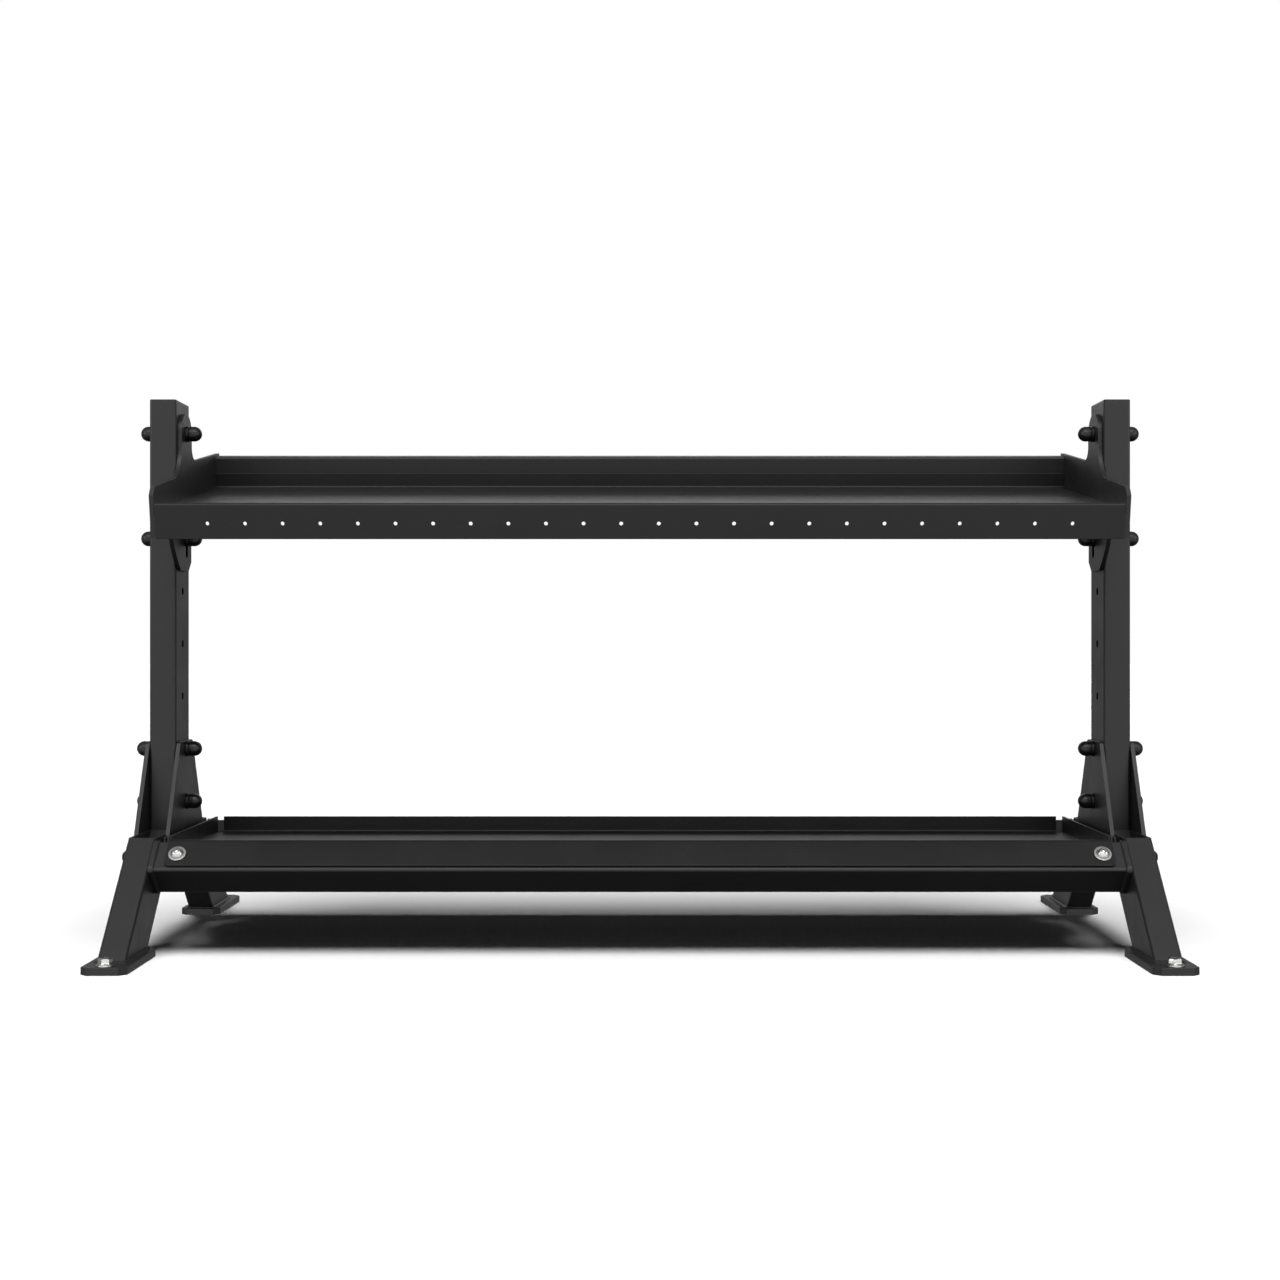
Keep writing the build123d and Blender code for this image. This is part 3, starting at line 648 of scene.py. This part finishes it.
def beamWeld(side, end, seed):
    low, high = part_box("rear_shelf_beam")
    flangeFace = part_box("right_rear_beam_flange")[0].x
    yMiddle, zMiddle = (low.y + high.y) / 2, (low.z + high.z) / 2
    corner = (high.z - low.z) / 2 + beamBead["cornerOut"] * mm
    ring = roundedPath([(flangeFace, yMiddle + corner, zMiddle), (flangeFace, yMiddle, zMiddle + corner),
                        (flangeFace, yMiddle - corner, zMiddle), (flangeFace, yMiddle, zMiddle - corner)],
                       weldBead["cornerRound"] * mm, weldBead["spacing"] * mm)
    outward = outwardOf(ring, (1, 0, 0))
    grid = bead(ring, outward, (-1, 0, 0), beamBead["leg"] * mm, True, seed)
    return mirrored(grid, side, end)


# the gussets' welds, in mm: how far the run goes in under the plate, up its edge and back over the leg's top
gussetRun = {"under": 11.0, "upEdge": 35.5, "back": 4.2, "belowTop": 2.5, "cornerRound": 5.0}


def gussetWeld(node, side, end, seed):
    # up a gusset's edge where it crosses the face of a leg
    low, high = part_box(node)
    inner = "inner" in node
    faceX = high.x if inner else low.x
    thickness = -1 if inner else 1
    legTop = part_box("right_rear_leg")[1].z
    edgeY = high.y
    path = roundedPath([(faceX, edgeY - gussetRun["under"] * mm, low.z), (faceX, edgeY, low.z),
                        (faceX, edgeY, low.z + gussetRun["upEdge"] * mm),
                        (faceX, edgeY - gussetRun["back"] * mm, legTop - gussetRun["belowTop"] * mm)],
                       gussetRun["cornerRound"] * mm, weldBead["spacing"] * mm, closed=False)
    outward = outwardOf(path, (1, 0, 0))
    outward *= np.sign(outward[len(path) // 2, 1])
    grid = bead(path, outward, (thickness, 0, 0), weldBead["leg"] * mm, False, seed)
    return mirrored(grid, side, end)


trayTilt = radians(10)
trayAlong = np.array([0, cos(trayTilt), sin(trayTilt)])
trayUp = np.array([0, -sin(trayTilt), cos(trayTilt)])
# stitches under the upper tray: where each starts along the floor and how long it is, in mm
trayStitches = {"starts": (60, 170, 280), "length": 42, "sheet": 3.0, "floorHalfDepth": 190.0}


def trayWeld(side, start, seed):
    floor = next(m for m in frame["record"]["mounts"] if m["name"] == "upper_tray_floor")
    under = np.array(floor["pos_m"]) - trayStitches["sheet"] * mm * trayUp
    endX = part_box("upper_tray")[1].x
    fromMiddle = start * mm - trayStitches["floorHalfDepth"] * mm
    first = under + fromMiddle * trayAlong + np.array([endX, 0, 0])
    along = np.arange(0, trayStitches["length"], weldBead["spacing"])[:, None] * mm
    path = first + along * trayAlong
    grid = bead(path, (-1, 0, 0), -trayUp, weldBead["leg"] * mm, False, seed)
    return mirrored(grid, side, 1)


def makeWelds():
    seed = 10
    for sideName, side in sides.items():
        for endName, end in ends.items():
            corners, quads = joined([footWeld(side, end, seed)])
            makePiece(f"{sideName}_{endName}_foot_weld", corners, quads, "frame_powder_coat")
            corners, quads = joined([beamWeld(side, end, seed + 1)])
            makePiece(f"{sideName}_{endName}_beam_weld", corners, quads, "frame_powder_coat")
            grids = [gussetWeld(f"right_{place}_gusset", side, end, seed + 2) for place in ("inner", "outer")]
            corners, quads = joined(grids)
            makePiece(f"{sideName}_{endName}_gusset_welds", corners, quads, "frame_powder_coat")
            seed += 10
        stitches = [trayWeld(side, start, seed + k) for k, start in enumerate(trayStitches["starts"])]
        corners, quads = joined(stitches)
        makePiece(f"{sideName}_tray_stitch_welds", corners, quads, "frame_powder_coat")


makeWelds()
print("weld beads made")


# ---- floor, light and camera

# the plain studio: strengths and shares of the white world, and the stretches of height and of front to back,
# as parts of a unit direction, over which its light changes
studio = {
    "floor": "#f4f4f4", "floorRoughness": 0.85, "halfSize": 30.0, "world": "#ffffff", "seenStrength": 1.0,
    "frontStrength": 1.75, "backStrength": 0.32, "frontToBack": (-0.9, 0.3),
    "downShare": 0.15, "downToUp": (-0.95, -0.15), "diffuseShare": 0.01,
}
skylight = {"power": 3.8, "spread": 42.0, "lean": (13.0, 0.0)}      # W per square metre, then degrees
sideSoftbox = {"aim": (0.0, 0.0, 0.4), "size": (0.7, 1.2), "power": 11}
softboxes = [
    {"name": "leftSoftbox", "place": (-2.8, -1.4, 1.3), **sideSoftbox},
    {"name": "rearSoftbox", "place": (0.0, 2.8, 1.7), "aim": (0.0, 0.0, 0.3), "size": (2.6, 1.0),
     "power": 11},
    {"name": "frontSoftbox", "place": (0.0, -2.5, 3.2), "aim": (0.0, 0.0, 0.3), "size": (3.6, 1.2),
     "power": 70},
    {"name": "rightSoftbox", "place": (2.8, -1.4, 1.3), **sideSoftbox},
]
view = {"place": (0.0, -2.5855, 0.427), "lens": 50.0, "sensor": 36.0}


def makeFloor():
    # one flat square, wide enough to reach the horizon
    reach = studio["halfSize"]
    corners = np.array([(-reach, -reach, 0), (reach, -reach, 0), (reach, reach, 0), (-reach, reach, 0)])
    mesh = bpy.data.meshes.new("studio_floor")
    mesh.from_pydata(corners.tolist(), [], [(0, 1, 2, 3)])
    material, tree = startMaterial("paintedStudioFloor")
    surface = addNode(tree, "ShaderNodeBsdfPrincipled", {
        "Base Color": linear(studio["floor"]), "Roughness": studio["floorRoughness"],
        "Specular IOR Level": 0.0})
    addNode(tree, "ShaderNodeOutputMaterial", {"Surface": surface.outputs[0]})
    mesh.materials.append(material)
    floor = bpy.data.objects.new("studio_floor", mesh)
    bpy.context.scene.collection.objects.link(floor)
    # the rack takes its light from below out of the sky's own lower half, not off the white floor
    floor.visible_diffuse = False
    floor.visible_glossy = False


def makeWorld():
    # white where it is looked at, dimmer where it lights the rack
    world = bpy.data.worlds.new("studio")
    world.use_nodes = True
    tree = world.node_tree
    tree.nodes.clear()
    ray = addNode(tree, "ShaderNodeLightPath")
    toSky = addNode(tree, "ShaderNodeTexCoord").outputs["Generated"]
    compass = addNode(tree, "ShaderNodeSeparateXYZ", {0: toSky})
    frontToBack = addNode(tree, "ShaderNodeMapRange", {
        "Value": compass.outputs["Y"],
        "From Min": studio["frontToBack"][0], "From Max": studio["frontToBack"][1],
        "To Min": studio["frontStrength"], "To Max": studio["backStrength"]}, interpolation_type="SMOOTHSTEP")
    upDown = addNode(tree, "ShaderNodeMapRange", {
        "Value": compass.outputs["Z"],
        "From Min": studio["downToUp"][0], "From Max": studio["downToUp"][1],
        "To Min": studio["downShare"], "To Max": 1.0}, interpolation_type="SMOOTHSTEP")
    lit = addNode(tree, "ShaderNodeMath", {0: frontToBack.outputs[0], 1: upDown.outputs[0]},
                  operation="MULTIPLY")
    share = addNode(tree, "ShaderNodeMapRange", {
        "Value": ray.outputs["Is Diffuse Ray"], "To Min": 1.0, "To Max": studio["diffuseShare"]})
    soft = addNode(tree, "ShaderNodeMath", {0: lit.outputs[0], 1: share.outputs[0]}, operation="MULTIPLY")
    strength = addNode(tree, "ShaderNodeMix", {
        "Factor": ray.outputs["Is Camera Ray"], 2: soft.outputs[0], 3: studio["seenStrength"]},
        data_type="FLOAT")
    sky = addNode(tree, "ShaderNodeBackground", {
        "Color": linear(studio["world"]), "Strength": strength.outputs[0]})
    addNode(tree, "ShaderNodeOutputWorld", {"Surface": sky.outputs[0]})
    bpy.context.scene.world = world


def addLight(name, kind, power):
    data = bpy.data.lights.new(name, kind)
    data.energy = power
    light = bpy.data.objects.new(name, data)
    bpy.context.scene.collection.objects.link(light)
    return light


def makeLights():
    top = addLight("skylight", "SUN", skylight["power"])
    top.data.angle = radians(skylight["spread"])
    top.visible_glossy = False
    top.rotation_euler = (radians(skylight["lean"][0]), radians(skylight["lean"][1]), 0)
    # the softboxes only glint: they are seen in the rack's skin and leave the floor's shadow alone
    for box in softboxes:
        light = addLight(box["name"], "AREA", box["power"])
        light.data.shape = "RECTANGLE"
        light.data.size, light.data.size_y = box["size"]
        light.location = box["place"]
        light.visible_diffuse = False
        light.visible_camera = False
        aim = Vector(box["aim"]) - Vector(box["place"])
        light.rotation_euler = aim.to_track_quat("-Z", "Y").to_euler()


def makeCamera():
    data = bpy.data.cameras.new("camera")
    data.lens = view["lens"]
    data.sensor_width = view["sensor"]
    camera = bpy.data.objects.new("camera", data)
    camera.location = view["place"]
    camera.rotation_euler = (pi / 2, 0, 0)
    bpy.context.scene.collection.objects.link(camera)
    bpy.context.scene.camera = camera
    bpy.context.scene.view_settings.view_transform = "Standard"


makeFloor()
makeWorld()
makeLights()
makeCamera()
print("studio ready")
